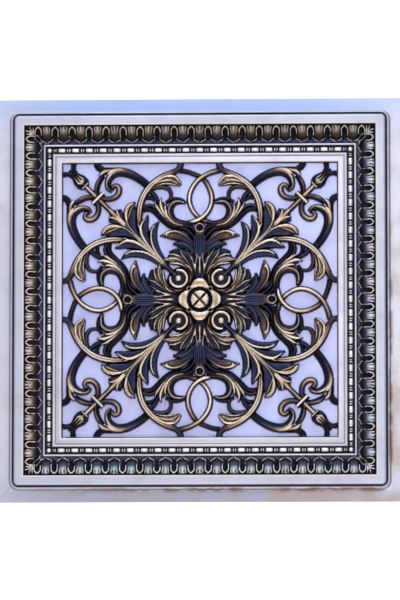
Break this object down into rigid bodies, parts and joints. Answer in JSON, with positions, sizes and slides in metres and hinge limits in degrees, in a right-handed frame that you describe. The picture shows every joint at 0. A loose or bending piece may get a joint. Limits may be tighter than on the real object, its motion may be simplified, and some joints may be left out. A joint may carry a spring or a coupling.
{
  "type": "ceiling panel",
  "caption": "Square formed ceiling panel with a flat flange, raised egg-and-dart frame and beading round a field of acanthus scrolls.",
  "frame": {"origin": "centre of the back of the ground sheet, on the plane that the panel is fixed against", "axes": "+Y into the ceiling or wall behind the panel, +Z towards the picture's top edge, +X to the right seen from the front"},
  "size_m": [0.603, 0.016, 0.603],
  "materials": {
    "antiqued_silver": "satin silver paint with dark antiquing in the recesses and warm tan on the ridges"
  },
  "bodies": {
    "root": {"ceiling_panel": "antiqued_silver"}
  },
  "joints": []
}
